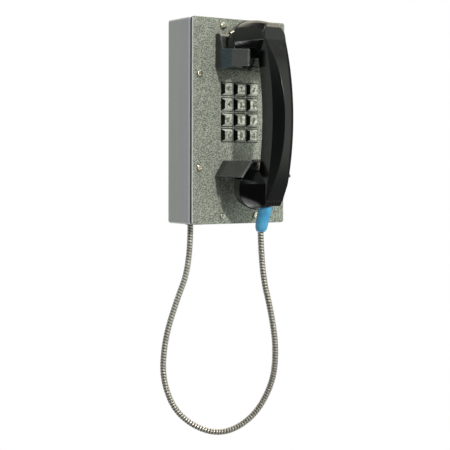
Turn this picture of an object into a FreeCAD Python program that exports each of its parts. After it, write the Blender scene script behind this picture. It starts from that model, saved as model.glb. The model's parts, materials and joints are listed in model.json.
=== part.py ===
"""Wall telephone with an armoured cord: steel box, thick front plate, metal keypad,
two handset cradles and a handset that tips out of the lower cradle.

Frame: origin at the centre of the back face, +X to the right, +Y into the wall, +Z up.
All lengths are in millimetres. A height h is measured outwards from the front plate's face.
"""
import FreeCAD
import Part
import math
import os

os.makedirs("parts", exist_ok=True)

# ---- driving dimensions -------------------------------------------------------------------
BOX_W = 139.7
BOX_H = 254.0
BOX_D = 57.15
PLATE_T = 3.0
GASKET_T = 2.0
GASKET_INSET = 0.3
WALL = 2.0
FLANGE_W = 15.0
CORNER_R = 3.5
REAR_R = 2.5
FRONT_R = 0.8
GAP = 0.3

PLATE_FACE = -BOX_D
PLATE_BACK = PLATE_FACE + PLATE_T
BOX_FRONT = PLATE_BACK + GASKET_T
HALF_W = BOX_W / 2
HALF_H = BOX_H / 2

PLATE_SCREWS = [(25.4, 117.5), (59.5, 57.2)]
SCREW_R = 2.0
SCREW_HEAD_R = 4.65
SCREW_HEAD_T = 2.5
SCREW_LENGTH = 9.5
HOLE_R = 2.3
NUT_R = 4.2
NUT_T = 3.0

SOCKET_R = 1.45
SOCKET_DEPTH = 1.4
SOCKET_PIN_R = 0.5
CRADLE_HEAD_R = 3.6
CRADLE_HEAD_T = 2.4
CRADLE_SHANK_H = 6.5
THREAD_CLEARANCE = 0.05

UPPER_SCREWS = [(-22.0, 98.0), (22.0, 98.0), (-22.0, 72.0), (22.0, 72.0)]
LOWER_SCREWS = [(-13.0, -53.5), (13.0, -53.5), (-19.0, -61.5), (19.0, -61.5)]

FORK_END_H = 58.5
FORK_BEND_H = 33.0
FORK_OUTER_X = 34.4
FORK_T = 3.0
FORK_END_X = 28.2
CRADLE_FOOT_X = 36.4
CRADLE_CORNER_R = 3.0
CUP_CLEARANCE = 0.7

EAR_TOP_X = 24.4
EAR_TOP_Z = -48.2
EAR_LOW_X = 37.1
EAR_LOW_Z = -67.6
EAR_T = 2.6
EAR_FOOT_H = 10.0
EAR_EDGE = 0.5

WALL_HOLE_X = 44.45
WALL_HOLE_Z = 101.6
WALL_HOLE_R = 3.5
LINE_X = 30.0
LINE_Z = -82.0
LINE_BORE_R = 6.0
LINE_HOLE_R = 9.0

KEY_PITCH = 19.05
KEY_SIZE = 15.3
KEY_OPENING = 17.4
KEY_PROUD = 4.4
KEY_FACE = 10.9
KEY_SLOPE_DEPTH = 3.8
KEY_DISH_R = 60.0
KEY_DISH_DEPTH = 0.3
KEY_TRAVEL = 1.8
KEY_FLANGE = 18.3
KEY_FLANGE_T = 1.2
KEY_STEM_R = 3.0
KEYPAD_Z = 11.7
KEY_NAMES = ["key_1", "key_2", "key_3", "key_4", "key_5", "key_6",
             "key_7", "key_8", "key_9", "key_star", "key_0", "key_hash"]
KEY_COLUMNS = 3
KEY_ROWS = 4

KEYPAD_HALF_X = 31.5
KEYPAD_HALF_Z = 41.0
KEYPAD_RIM_X = 2.8
KEYPAD_RIM_Z = 2.2
KEYPAD_EAR_X = 6.0
KEYPAD_EAR_Z = 5.0
KEYPAD_EAR_T = 3.0
KEYPAD_PLUG_D = 5.0
STUD_R = 1.5
STUD_LENGTH = 8.0
STUD_NUT_R = 3.2
STUD_NUT_T = 2.4
STUDS = [(sx * (KEYPAD_HALF_X + 3.6), KEYPAD_Z + sz * (KEYPAD_HALF_Z - 4))
         for sx in (-1, 1) for sz in (-1, 1)]

BOARD_T = 1.6
KEYPAD_BOARD_FRONT = -45.9
DOME_SHEET_T = 1.0
DOME_HEIGHT = 1.1
DOME_R = 4.0

MAIN_BOARD_BACK = -10.0
MAIN_BOARD_X = 46.0
MAIN_BOARD_Z0 = -62.0
MAIN_BOARD_Z1 = 58.0
BOARD_FRONT = MAIN_BOARD_BACK - BOARD_T
STANDOFFS = [(sx * 42.0, z) for sx in (-1, 1) for z in (MAIN_BOARD_Z0 + 4, MAIN_BOARD_Z1 - 4)]
STANDOFF_R = 3.0
BOARD_SCREW_R = 1.65
BOARD_HEAD_R = 2.8
BOARD_HEAD_T = 1.8

TERMINAL_X = (8.0, 36.0)
TERMINAL_Z = (-58.0, -48.0)
TERMINAL_D = 10.0
TERMINAL_WAYS = 4
TERMINAL_PITCH = 6.6
TRANSFORMER_X = -22.0
TRANSFORMER_Z = 30.0
TRANSFORMER_D = 17.0
RINGER_X = 26.0
RINGER_Z = 34.0
RINGER_R = 14.0
RINGER_D = 8.0
ARRESTOR_X = 2.0
ARRESTOR_R = 4.0
SOCKET_X = (-38.0, -22.0)
SOCKET_Z = (-58.0, -46.0)
SOCKET_D = 9.0
REED_Z = 88.0
REED_R = 1.5
REED_LENGTH = 22.0
REED_OFFSET = 5.2
RIBBON_HALF_W = 10.0

HANDLE_HALF_W = 15.35
HANDLE_FACE_X = 5.0
HANDLE_OUTER_H = 101.0
HANDLE_UPPER_R = 183.0
HANDLE_LOWER_R = 194.6
HANDLE_SIDE_H = 90.8
HANDLE_SIDE_R = 290.0
HANDLE_INNER_H = 69.8
HANDLE_INNER_R = 320.0
HEAD_BASE_Z = 96.0
# The head above its base: z, outer height, half width.
HEAD_TOP = [(101.0, 73.9, 15.35), (104.5, 72.9, 15.0), (107.5, 72.1, 13.6), (111.0, 71.2, 11.0),
            (116.0, 67.2, 7.6)]
FOOT_BASE_Z = -76.6
FOOT_TOE_Z = -97.0
FOOT_HALF_W = 12.4
HANDLE_EDGE = 0.7
NECK_R = 29.8
HEAD_INNER_H = 60.0
FOOT_INNER_H = 62.0
EAR_NECK = [(15.0, 62.5, 74.5), (15.0, 73.9, 95.5), (13.0, 70.8, 107.2), (7.2, 66.8, 115.2)]
MOUTH_NECK = [(15.0, 64.2, -60.5), (15.0, 78.4, -76.0), (12.1, 74.2, -96.0), (12.1, 70.0, -103.0)]
EAR_ANGLES = [38.0, 92.0, 132.0, 144.0]
MOUTH_ANGLES = [38.0, 86.0, 110.0, 144.0]
EAR_CROWN = 2.4

CAP_R = 30.5
CAP_T = 14.0
CAP_WALL = 3.0
SPIGOT_R = 27.4
POCKET_R = 24.6
EAR_H = 17.0
EAR_Z = 90.6
EAR_TILT = 15.0
MOUTH_H = 30.5
MOUTH_Z = -75.5
MOUTH_TILT = -13.0
CAP_RIM_R = 3.2
SOUND_HOLE_R = 1.1
CAPSULE_START = 6.2
POCKET_END = 21.0
MAGNET_START = 19.2
WIRE_HOLE_R = 8.0
CHANNEL_R = 4.5
CHANNEL_BEND_R = 236.0
CHANNEL_H = 85.0

BOOT_STEM_R = 5.4
BOOT_STEM_LENGTH = 9.0
BOOT_ROOT_H = 55.85
BOOT_ROOT_Z = -106.0
BOOT_ROOT_LEAN = 22.0
BOOT_SECTIONS = [
    (58.25, -99.5, 20.0, 8.4),
    (52.75, -113.5, 19.0, 8.1),
    (49.75, -122.5, 14.0, 7.7),
    (47.65, -130.5, 8.0, 7.1),
    (46.75, -134.9, 4.0, 4.9),
]
BOOT_TOP = [(35.0, -109.4), (85.0, -101.3)]
ANCHOR_R = 5.2
ANCHOR_LENGTH = 5.0

CORD_D = 7.5
CORD_ROUTE = [
    (-52.5, -26.0, -128.2),
    (-52.5, -26.0, -179.0),
    (-72.0, -21.0, -229.0),
    (-86.0, -18.0, -276.0),
    (-87.0, -16.0, -326.0),
    (-67.0, -23.0, -372.0),
    (-24.0, -46.0, -396.0),
    (11.0, -71.0, -375.0),
    (27.0, -93.0, -329.0),
    (21.0, -109.0, -282.0),
    (10.0, -113.0, -234.0),
    (0.0, -106.0, -184.0),
    (0.0, -103.6, -135.6),
]
CORD_ARC_SHARE = 0.45
CORD_X = CORD_ROUTE[0][0]
CORD_Y = CORD_ROUTE[0][1]
BUSH_R = 5.6
BUSH_BORE_R = 2.6
BUSH_FLANGE_R = 6.6
BUSH_FLANGE_T = 1.2
BUSH_SLEEVE = 11.0
BUSH_NUT_R = 9.0
BUSH_NUT_T = 4.0


# ---- small helpers ------------------------------------------------------------------------
def vec(x, y, z):
    return FreeCAD.Vector(x, y, z)


def out(h):
    """The y of a height h above the front plate's face."""
    return PLATE_FACE - h


def block(x0, x1, y0, y1, z0, z1):
    low = vec(min(x0, x1), min(y0, y1), min(z0, z1))
    return Part.makeBox(abs(x1 - x0), abs(y1 - y0), abs(z1 - z0), low)


def rod_y(x, z, radius, y0, y1):
    return Part.makeCylinder(radius, abs(y1 - y0), vec(x, min(y0, y1), z), vec(0, 1, 0))


def rod_z(x, y, radius, z0, z1):
    return Part.makeCylinder(radius, abs(z1 - z0), vec(x, y, min(z0, z1)), vec(0, 0, 1))


def prism(points, direction):
    """A closed outline of vectors, pushed along a vector."""
    wire = Part.makePolygon(points + [points[0]])
    return Part.Face(wire).extrude(direction)


def prism_x(outline, x0, x1):
    """An outline of (height, z) points, pushed from x0 to x1."""
    return prism([vec(x0, out(h), z) for h, z in outline], vec(x1 - x0, 0, 0))


def prism_z(outline, z0, z1):
    """An outline of (x, height) points, pushed from z0 to z1."""
    return prism([vec(x, out(h), z0) for x, h in outline], vec(0, 0, z1 - z0))


def prism_y(outline, h0, h1):
    """An outline of (x, z) points, pushed from height h0 to height h1."""
    return prism([vec(x, out(h0), z) for x, z in outline], vec(0, h0 - h1, 0))


def rounded_slab(half_x, half_z, y0, y1, radius, x=0.0, z=0.0):
    """A slab facing Y whose four corners are rounded."""
    slab = block(x - half_x, x + half_x, y0, y1, z - half_z, z + half_z)
    corners = [e for e in slab.Edges if abs(e.tangentAt(0).y) > 0.9]
    return slab.makeFillet(radius, corners)


def hex_nut(x, z, y0, y1, radius, bore):
    points = []
    for corner in range(6):
        angle = math.radians(60 * corner)
        points.append(vec(x + radius * math.cos(angle), y0, z + radius * math.sin(angle)))
    return prism(points, vec(0, y1 - y0, 0)).cut(rod_y(x, z, bore, y0 - 1, y1 + 1))


def four_ways(places):
    """Each (x, z) place mirrored to all four quadrants."""
    return [(sx * x, sz * z) for x, z in places for sx in (-1, 1) for sz in (-1, 1)]


def save(name, shape):
    assert shape.isValid(), name
    shape.exportStep("parts/" + name + ".step")


def save_group(name, solids):
    save(name, Part.makeCompound(solids))


# ---- housing ------------------------------------------------------------------------------
SCREW_PLACES = four_ways(PLATE_SCREWS)


def back_box():
    shell = rounded_slab(HALF_W, HALF_H, BOX_FRONT, 0, CORNER_R)
    rear = [e for e in shell.Edges if e.BoundBox.YMin > -0.01]
    shell = shell.makeFillet(REAR_R, rear)
    front = [e for e in shell.Edges if e.BoundBox.YMax < BOX_FRONT + 0.01]
    shell = shell.makeFillet(FRONT_R, front)
    inner_x = HALF_W - WALL
    inner_z = HALF_H - WALL
    shell = shell.cut(rounded_slab(inner_x, inner_z, BOX_FRONT + WALL, -WALL, CORNER_R - WALL))
    mouth_x = HALF_W - FLANGE_W
    mouth_z = HALF_H - FLANGE_W
    shell = shell.cut(rounded_slab(mouth_x, mouth_z, BOX_FRONT - 1, BOX_FRONT + WALL + 1, CORNER_R))
    for x, z in SCREW_PLACES:
        shell = shell.cut(rod_y(x, z, HOLE_R, BOX_FRONT - 1, BOX_FRONT + WALL + 1))
    for x, z in four_ways([(WALL_HOLE_X, WALL_HOLE_Z)]):
        shell = shell.cut(rod_y(x, z, WALL_HOLE_R, -WALL - 1, 1))
    shell = shell.cut(rod_y(LINE_X, LINE_Z, LINE_HOLE_R, -WALL - 1, 1))
    return shell.cut(rod_z(CORD_X, CORD_Y, BUSH_R, -HALF_H - 1, -HALF_H + WALL + 1))


def key_places():
    places = []
    for row in range(KEY_ROWS):
        for column in range(KEY_COLUMNS):
            x = (column - (KEY_COLUMNS - 1) / 2) * KEY_PITCH
            z = KEYPAD_Z + ((KEY_ROWS - 1) / 2 - row) * KEY_PITCH
            places.append((x, z))
    return places


def front_plate():
    plate = rounded_slab(HALF_W, HALF_H, PLATE_FACE, PLATE_BACK, CORNER_R)
    rim = [e for e in plate.Edges if e.BoundBox.YMax < PLATE_FACE + 0.01]
    plate = plate.makeFillet(0.6, rim)
    for x, z in key_places():
        half = KEY_OPENING / 2
        plate = plate.cut(rounded_slab(half, half, PLATE_FACE - 1, PLATE_BACK + 1, 1.2, x, z))
    for x, z in SCREW_PLACES + UPPER_SCREWS + LOWER_SCREWS:
        plate = plate.cut(rod_y(x, z, HOLE_R, PLATE_FACE - 1, PLATE_BACK + 1))
    return plate


def plate_gasket():
    side_x = HALF_W - GASKET_INSET
    side_z = HALF_H - GASKET_INSET
    ring = rounded_slab(side_x, side_z, PLATE_BACK, BOX_FRONT, CORNER_R)
    mouth_x = HALF_W - FLANGE_W
    mouth_z = HALF_H - FLANGE_W
    ring = ring.cut(rounded_slab(mouth_x, mouth_z, PLATE_BACK - 1, BOX_FRONT + 1, CORNER_R))
    for x, z in SCREW_PLACES:
        ring = ring.cut(rod_y(x, z, HOLE_R, PLATE_BACK - 1, BOX_FRONT + 1))
    return ring


def button_screw(x, z):
    """Tamper-resistant screw: domed head, socket with a centre pin, plain shank."""
    head = rod_y(x, z, SCREW_HEAD_R, PLATE_FACE, out(SCREW_HEAD_T))
    top = [e for e in head.Edges if e.BoundBox.YMax < out(SCREW_HEAD_T) + 0.01]
    head = head.makeFillet(SCREW_HEAD_T * 0.8, top)
    socket_end = out(SCREW_HEAD_T - SOCKET_DEPTH)
    socket = hex_nut(x, z, out(SCREW_HEAD_T), socket_end, SOCKET_R, SOCKET_PIN_R)
    shank = rod_y(x, z, SCREW_R, PLATE_FACE, PLATE_FACE + SCREW_LENGTH)
    return head.cut(socket).fuse(shank).removeSplitter()


def weld_nut(x, z):
    back = BOX_FRONT + WALL
    return hex_nut(x, z, back, back + NUT_T, NUT_R, SCREW_R + THREAD_CLEARANCE)


# ---- cradles ------------------------------------------------------------------------------


def ear_axis_point(distance):
    tilt = math.radians(EAR_TILT)
    h = EAR_H + distance * math.cos(tilt)
    return vec(0, out(h), EAR_Z + distance * math.sin(tilt))


def mouth_axis_point(distance):
    tilt = math.radians(MOUTH_TILT)
    h = MOUTH_H + distance * math.cos(tilt)
    return vec(0, out(h), MOUTH_Z + distance * math.sin(tilt))


def along(axis_point, start, end, radius):
    """A cylinder on a cap's axis, between two distances from the cap's face."""
    low = axis_point(start)
    high = axis_point(end)
    return Part.makeCylinder(radius, (high - low).Length, low, high - low)


def cradle_screw_holes(places, depth):
    radius = SCREW_R + THREAD_CLEARANCE
    holes = [rod_y(x, z, radius, out(-1), out(depth)) for x, z in places]
    return Part.makeCompound(holes)


def upper_cradle():
    side = [(0, 63.7), (0, 107.9), (5, 107.4), (8.2, 104), (22, 66.6), (16, 63.7)]
    plan = [(-CRADLE_FOOT_X, 0), (-FORK_OUTER_X, 14), (-FORK_OUTER_X, 30),
            (FORK_OUTER_X, 30), (FORK_OUTER_X, 14), (CRADLE_FOOT_X, 0)]
    cradle = prism_x(side, -40, 40).common(prism_z(plan, 60, 110))
    upright = [e for e in cradle.Edges if e.BoundBox.ZMin > 103 and e.BoundBox.XLength < 2.5]
    cradle = cradle.makeFillet(CRADLE_CORNER_R, upright)
    prong_side = [(6, 65.4), (6, 88.8), (FORK_END_H, 84.7), (FORK_END_H, 64.5)]
    bend_inner = FORK_OUTER_X - FORK_T + 0.3
    for s in (-1, 1):
        prong_plan = [(s * FORK_OUTER_X, 6), (s * FORK_OUTER_X, FORK_BEND_H),
                      (s * FORK_END_X, FORK_END_H), (s * (FORK_END_X - FORK_T), FORK_END_H),
                      (s * bend_inner, FORK_BEND_H + 1), (s * bend_inner, 6)]
        prong = prism_x(prong_side, -40, 40).common(prism_z(prong_plan, 60, 110))
        free = [e for e in prong.Edges if e.BoundBox.YMax < out(FORK_BEND_H - 1)]
        prong = prong.makeFillet(EAR_EDGE, free)
        shelf = prism_z([(s * FORK_OUTER_X, 10), (s * FORK_OUTER_X, 30),
                         (s * 17, 30), (s * 17, 10)], 64.9, 78)
        cup = along(ear_axis_point, -10, 40, CAP_R + CUP_CLEARANCE)
        cradle = cradle.fuse(prong).fuse(shelf.cut(cup))
    cap_room = along(ear_axis_point, -0.8, 40, CAP_R + CUP_CLEARANCE)
    cradle = cradle.cut(cap_room)
    return cradle.removeSplitter().cut(cradle_screw_holes(UPPER_SCREWS, 7))


def lower_cradle():
    run = vec(EAR_LOW_X - EAR_TOP_X, 0, EAR_LOW_Z - EAR_TOP_Z).normalize()
    inset_x = run.z * EAR_T
    inset_z = -run.x * EAR_T
    middle = [(-EAR_TOP_X, EAR_TOP_Z), (EAR_TOP_X, EAR_TOP_Z),
              (EAR_LOW_X - 3, EAR_LOW_Z + 2), (-EAR_LOW_X + 3, EAR_LOW_Z + 2)]
    cradle = prism_y(middle, 0, EAR_FOOT_H)
    trim = [(0, -80), (0, -40), (56, -40), (61, -48.2), (58.4, -67.6), (58.4, -80)]
    for s in (-1, 1):
        outline = [(s * EAR_TOP_X, EAR_TOP_Z), (s * EAR_LOW_X, EAR_LOW_Z),
                   (s * (EAR_LOW_X + inset_x), EAR_LOW_Z + inset_z),
                   (s * (EAR_TOP_X + inset_x), EAR_TOP_Z + inset_z)]
        ear = prism_y(outline, 0, 62).common(prism_x(trim, -40, 40))
        free = [e for e in ear.Edges if e.BoundBox.YMax < out(EAR_FOOT_H) or e.BoundBox.YLength > 40]
        cradle = cradle.fuse(ear.makeFillet(EAR_EDGE, free))
    return cradle.removeSplitter().cut(cradle_screw_holes(LOWER_SCREWS, 7))


def cradle_screw(x, z):
    head = rod_y(x, z, CRADLE_HEAD_R, PLATE_BACK, PLATE_BACK + CRADLE_HEAD_T)
    return head.fuse(rod_y(x, z, SCREW_R, PLATE_BACK, out(CRADLE_SHANK_H))).removeSplitter()


# ---- keypad -------------------------------------------------------------------------------
def square_wire(half, radius, y, x, z):
    """The front outline of a rounded square that faces Y."""
    slab = rounded_slab(half, half, y, y + 1, radius, x, z)
    front = [f for f in slab.Faces if f.BoundBox.YMax < y + 0.01]
    return front[0].OuterWire


def key(x, z):
    """Cast key: sloped sides, a shallow dish, retaining flange and a stem behind."""
    half = KEY_SIZE / 2
    flange_front = PLATE_BACK + GAP
    flange_back = flange_front + KEY_FLANGE_T
    shoulder = out(KEY_PROUD - KEY_SLOPE_DEPTH)
    base = rounded_slab(half, half, shoulder, flange_front + 0.5, 1.0, x, z)
    slopes = Part.makeLoft([square_wire(half, 1.0, shoulder, x, z),
                            square_wire(KEY_FACE / 2, 0.8, out(KEY_PROUD), x, z)], True, True)
    dish_y = out(KEY_PROUD) - KEY_DISH_R + KEY_DISH_DEPTH
    dish = Part.makeSphere(KEY_DISH_R, vec(x, dish_y, z))
    flange = block(x - KEY_FLANGE / 2, x + KEY_FLANGE / 2, flange_front, flange_back,
                   z - KEY_FLANGE / 2, z + KEY_FLANGE / 2)
    stem_end = dome_top() - KEY_TRAVEL - GAP
    stem = rod_y(x, z, KEY_STEM_R, flange_back, stem_end)
    return base.fuse(slopes.cut(dish)).fuse(flange).fuse(stem).removeSplitter()


def dome_top():
    return KEYPAD_BOARD_FRONT - DOME_SHEET_T - DOME_HEIGHT


def keypad_frame():
    """Cast tray round the key flanges, open at front and back, with four fixing ears."""
    frame = rounded_slab(KEYPAD_HALF_X, KEYPAD_HALF_Z, PLATE_BACK, KEYPAD_BOARD_FRONT, 2, 0, KEYPAD_Z)
    for x, z in STUDS:
        ear = rounded_slab(KEYPAD_EAR_X, KEYPAD_EAR_Z, PLATE_BACK, PLATE_BACK + KEYPAD_EAR_T, 2, x, z)
        frame = frame.fuse(ear)
    room = rounded_slab(KEYPAD_HALF_X - KEYPAD_RIM_X, KEYPAD_HALF_Z - KEYPAD_RIM_Z,
                        PLATE_BACK - 1, KEYPAD_BOARD_FRONT + 1, 1, 0, KEYPAD_Z)
    frame = frame.cut(room)
    for x, z in STUDS:
        frame = frame.cut(rod_y(x, z, STUD_R + 0.2, PLATE_BACK - 1, PLATE_BACK + KEYPAD_EAR_T + 1))
    return frame.removeSplitter()


def dome_mat():
    half_x = KEYPAD_HALF_X - KEYPAD_RIM_X - 0.2
    half_z = KEYPAD_HALF_Z - KEYPAD_RIM_Z - 0.2
    back = KEYPAD_BOARD_FRONT
    mat = rounded_slab(half_x, half_z, back - DOME_SHEET_T, back, 1, 0, KEYPAD_Z)
    for x, z in key_places():
        base = vec(x, back - DOME_SHEET_T, z)
        mat = mat.fuse(Part.makeCone(DOME_R, DOME_R * 0.7, DOME_HEIGHT, base, vec(0, -1, 0)))
    return mat.removeSplitter()


def keypad_board():
    back = KEYPAD_BOARD_FRONT + BOARD_T
    board = rounded_slab(KEYPAD_HALF_X, KEYPAD_HALF_Z, KEYPAD_BOARD_FRONT, back, 2, 0, KEYPAD_Z)
    socket = block(-12, 12, back, back + KEYPAD_PLUG_D, KEYPAD_Z - 4, KEYPAD_Z + 4)
    return board.fuse(socket).removeSplitter()


def keypad_stud(x, z):
    return rod_y(x, z, STUD_R, PLATE_BACK, PLATE_BACK + STUD_LENGTH)


def keypad_nut(x, z):
    start = PLATE_BACK + KEYPAD_EAR_T
    return hex_nut(x, z, start, start + STUD_NUT_T, STUD_NUT_R, STUD_R + THREAD_CLEARANCE)


# ---- electronics inside the box -----------------------------------------------------------


def main_board():
    board = block(-MAIN_BOARD_X, MAIN_BOARD_X, BOARD_FRONT, MAIN_BOARD_BACK,
                  MAIN_BOARD_Z0, MAIN_BOARD_Z1)
    for x, z in STANDOFFS:
        radius = BOARD_SCREW_R + THREAD_CLEARANCE
        board = board.cut(rod_y(x, z, radius, BOARD_FRONT - 1, MAIN_BOARD_BACK + 1))
    return board


def standoff(x, z):
    return rod_y(x, z, STANDOFF_R, MAIN_BOARD_BACK, -WALL)


def board_screw(x, z):
    head = rod_y(x, z, BOARD_HEAD_R, BOARD_FRONT - BOARD_HEAD_T, BOARD_FRONT)
    return head.fuse(rod_y(x, z, BOARD_SCREW_R, BOARD_FRONT, MAIN_BOARD_BACK)).removeSplitter()


def terminal_block():
    body = block(*TERMINAL_X, BOARD_FRONT - TERMINAL_D, BOARD_FRONT, *TERMINAL_Z)
    for way in range(TERMINAL_WAYS):
        x = TERMINAL_X[0] + 4 + TERMINAL_PITCH * way
        z = sum(TERMINAL_Z) / 2
        body = body.cut(rod_y(x, z, 1.8, BOARD_FRONT - TERMINAL_D - 1, BOARD_FRONT - 6))
    return body


def line_transformer():
    core = block(TRANSFORMER_X - 12, TRANSFORMER_X + 12, BOARD_FRONT - TRANSFORMER_D, BOARD_FRONT,
                 TRANSFORMER_Z - 12, TRANSFORMER_Z + 12)
    winding = rod_z(TRANSFORMER_X, BOARD_FRONT - TRANSFORMER_D / 2, 7,
                    TRANSFORMER_Z - 16, TRANSFORMER_Z + 16)
    return core.fuse(winding).removeSplitter()


def ringer():
    disc = rod_y(RINGER_X, RINGER_Z, RINGER_R, BOARD_FRONT - RINGER_D, BOARD_FRONT)
    return disc.cut(rod_y(RINGER_X, RINGER_Z, 2, BOARD_FRONT - RINGER_D - 1, BOARD_FRONT - 5))


def surge_arrestor():
    return rod_z(ARRESTOR_X, BOARD_FRONT - ARRESTOR_R, ARRESTOR_R, -56, -46)


def handset_socket():
    """Socket open at the front and below, where the handset's lead plugs in."""
    body = block(*SOCKET_X, BOARD_FRONT - SOCKET_D, BOARD_FRONT, *SOCKET_Z)
    return body.cut(block(SOCKET_X[0] + 2, SOCKET_X[1] - 2, BOARD_FRONT - SOCKET_D - 1,
                          BOARD_FRONT - 3, SOCKET_Z[0] - 1, SOCKET_Z[1] - 2))


def reed_rod(length):
    start = vec(-length / 2, PLATE_BACK + REED_OFFSET, REED_Z)
    return Part.makeCylinder(REED_R, length, start, vec(1, 0, 0))


def reed_switch():
    return reed_rod(REED_LENGTH)


def reed_holder():
    body = block(-14, 14, PLATE_BACK, PLATE_BACK + 8, REED_Z - 4, REED_Z + 4)
    return body.cut(reed_rod(2 * REED_LENGTH))


def ribbon(points, x0, x1, thickness):
    """A flat cable: an outline offset either side of straight runs in the YZ plane."""
    left = []
    right = []
    for index, (y, z) in enumerate(points):
        before = points[max(index - 1, 0)]
        after = points[min(index + 1, len(points) - 1)]
        dy = after[0] - before[0]
        dz = after[1] - before[1]
        size = math.hypot(dy, dz)
        left.append(vec(x0, y - dz / size * thickness / 2, z + dy / size * thickness / 2))
        right.append(vec(x0, y + dz / size * thickness / 2, z - dy / size * thickness / 2))
    return prism(left + right[::-1], vec(x1 - x0, 0, 0))


def keypad_ribbon():
    start = KEYPAD_BOARD_FRONT + BOARD_T + KEYPAD_PLUG_D + 0.1
    end = BOARD_FRONT - 0.1
    points = [(start, KEYPAD_Z), (start + 4, KEYPAD_Z - 0.5), (-30, KEYPAD_Z - 6),
              (-22, KEYPAD_Z - 14), (end - 4, KEYPAD_Z - 18), (end, KEYPAD_Z - 18.4)]
    return ribbon(points, -RIBBON_HALF_W, RIBBON_HALF_W, 1.0)


def cord_bushing():
    """Flanged sleeve in the bottom wall that the armour ends in."""
    flange = rod_z(CORD_X, CORD_Y, BUSH_FLANGE_R, -HALF_H - BUSH_FLANGE_T, -HALF_H)
    sleeve = rod_z(CORD_X, CORD_Y, BUSH_R, -HALF_H, -HALF_H + BUSH_SLEEVE)
    bore = rod_z(CORD_X, CORD_Y, BUSH_BORE_R, -HALF_H - 3, -HALF_H + BUSH_SLEEVE + 1)
    return flange.fuse(sleeve).cut(bore).removeSplitter()


def bushing_nut():
    low = -HALF_H + WALL
    points = []
    for corner in range(6):
        angle = math.radians(60 * corner)
        points.append(vec(CORD_X + BUSH_NUT_R * math.cos(angle),
                          CORD_Y + BUSH_NUT_R * math.sin(angle), low))
    nut = prism(points, vec(0, 0, BUSH_NUT_T))
    return nut.cut(rod_z(CORD_X, CORD_Y, BUSH_R, low - 1, low + BUSH_NUT_T + 1))


def line_grommet():
    """Rubber grommet in the back wall for the line cable."""
    body = rod_y(LINE_X, LINE_Z, LINE_HOLE_R, -WALL, 0)
    body = body.fuse(rod_y(LINE_X, LINE_Z, LINE_HOLE_R + 2.5, -WALL - 2, -WALL))
    return body.cut(rod_y(LINE_X, LINE_Z, LINE_BORE_R, -6, 1)).removeSplitter()


# ---- handset ------------------------------------------------------------------------------
def bowed(apex, radius, z):
    """A height that bows out to apex at z = 0."""
    return apex - radius + math.sqrt(radius * radius - z * z)


def share_of(value, start, end):
    return (value - start) / (end - start)


def handle_section(z, inner, half_w, face_x, side, outer):
    """The handle's outline at z: inner edges, side edges and outer edges."""
    right = [(half_w, inner), (half_w, side), (face_x, outer)]
    corners = right + [(-x, h) for x, h in right[::-1]]
    points = [vec(x, out(h), z) for x, h in corners]
    return Part.makePolygon(points + [points[0]])


def grip_section(z):
    """Between the two necks: wide side bevels that close up towards the ends."""
    radius = HANDLE_UPPER_R if z > 0 else HANDLE_LOWER_R
    outer = bowed(HANDLE_OUTER_H, radius, z)
    side = bowed(HANDLE_SIDE_H, HANDLE_SIDE_R, z)
    if z > 0:
        outer = max(outer, side + HANDLE_EDGE)
    opening = (HANDLE_HALF_W - HANDLE_FACE_X) * abs(z / HEAD_BASE_Z) ** 3
    inner = bowed(HANDLE_INNER_H, HANDLE_INNER_R, z)
    return handle_section(z, inner, HANDLE_HALF_W, HANDLE_FACE_X + opening - 0.3,
                          min(side, outer - HANDLE_EDGE), outer)


def head_section(z, outer, half_w):
    """Above the grip: full width, then rounded corners and a sloped top edge."""
    return handle_section(z, HEAD_INNER_H, half_w, half_w - 0.3, outer - HANDLE_EDGE, outer)


def foot_section(z):
    """Below the grip: narrows to the square toe."""
    along_foot = share_of(z, FOOT_BASE_Z, FOOT_TOE_Z)
    half_w = HANDLE_HALF_W + (FOOT_HALF_W - HANDLE_HALF_W) * along_foot
    grip_x = (HANDLE_HALF_W - HANDLE_FACE_X) * abs(FOOT_BASE_Z / HEAD_BASE_Z) ** 3
    start_x = HANDLE_FACE_X + grip_x - 0.3
    face_x = start_x + (FOOT_HALF_W - 0.4 - start_x) * along_foot
    outer = bowed(HANDLE_OUTER_H, HANDLE_LOWER_R, z)
    side = min(bowed(HANDLE_SIDE_H, HANDLE_SIDE_R, z), outer - HANDLE_EDGE)
    return handle_section(z, FOOT_INNER_H, half_w, face_x, side, outer)


def spaced(start, end, count):
    return [start + (end - start) * index / (count - 1) for index in range(count)]


def handle_bar():
    grip = Part.makeLoft([grip_section(z) for z in spaced(FOOT_BASE_Z, HEAD_BASE_Z, 11)], True, False)
    head_start = bowed(HANDLE_SIDE_H, HANDLE_SIDE_R, HEAD_BASE_Z) + HANDLE_EDGE
    head_rows = [(HEAD_BASE_Z, head_start, HANDLE_HALF_W)] + HEAD_TOP
    head = Part.makeLoft([head_section(*row) for row in head_rows], True, True)
    foot = Part.makeLoft([foot_section(z) for z in spaced(FOOT_BASE_Z, FOOT_TOE_Z, 3)], True, False)
    return grip.fuse(head).fuse(foot)


def ring_wire(corners, middles):
    """A closed wire of one arc, or one line where it is straight, from corner to corner."""
    edges = []
    for index, start in enumerate(corners):
        end = corners[(index + 1) % len(corners)]
        middle = middles[index]
        if (middle - (start + end) * 0.5).Length < 0.01:
            edges.append(Part.makeLine(start, end))
        else:
            edges.append(Part.Arc(start, middle, end).toShape())
    return Part.Wire(edges)


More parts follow.
